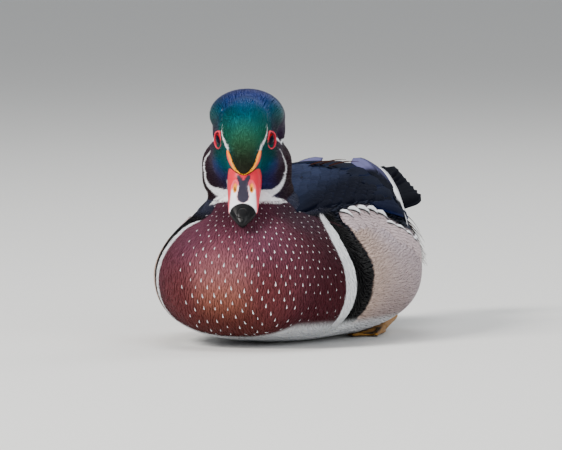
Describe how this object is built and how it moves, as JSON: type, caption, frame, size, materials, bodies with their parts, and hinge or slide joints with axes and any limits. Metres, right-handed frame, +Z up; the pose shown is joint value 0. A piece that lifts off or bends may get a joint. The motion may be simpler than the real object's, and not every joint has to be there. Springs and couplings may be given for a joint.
{
  "type": "wood duck drake resting on its belly",
  "caption": "Crested duck at life size, resting on its belly with folded wings, raised fanned tail, tucked webbed feet and head turned and bill held low.",
  "frame": {"origin": "middle of the flat on the belly, level with the floor it rests on", "axes": "the bird faces -Y, its left side is +X and +Z is up"},
  "size_m": [0.156, 0.3481, 0.1575],
  "materials": {
    "plumage": "feathers, satin",
    "head_plumage": "feathers with a metallic green and violet gloss",
    "neck_plumage": "feathers, satin",
    "wing_plumage": "feathers with a blue gloss",
    "tail_plumage": "feathers, satin",
    "bill": "smooth horn, satin",
    "eye": "wet gloss",
    "foot": "scaled skin, satin"
  },
  "bodies": {
    "root": {"torso": "plumage", "neck": "neck_plumage", "head": "head_plumage", "crest": "head_plumage", "bill_upper": "bill", "bill_lower": "bill", "eye_left": "eye", "eye_right": "eye", "wing_left": "wing_plumage", "wing_right": "wing_plumage", "tail": "tail_plumage", "leg_left": "foot", "leg_right": "foot"}
  },
  "joints": []
}
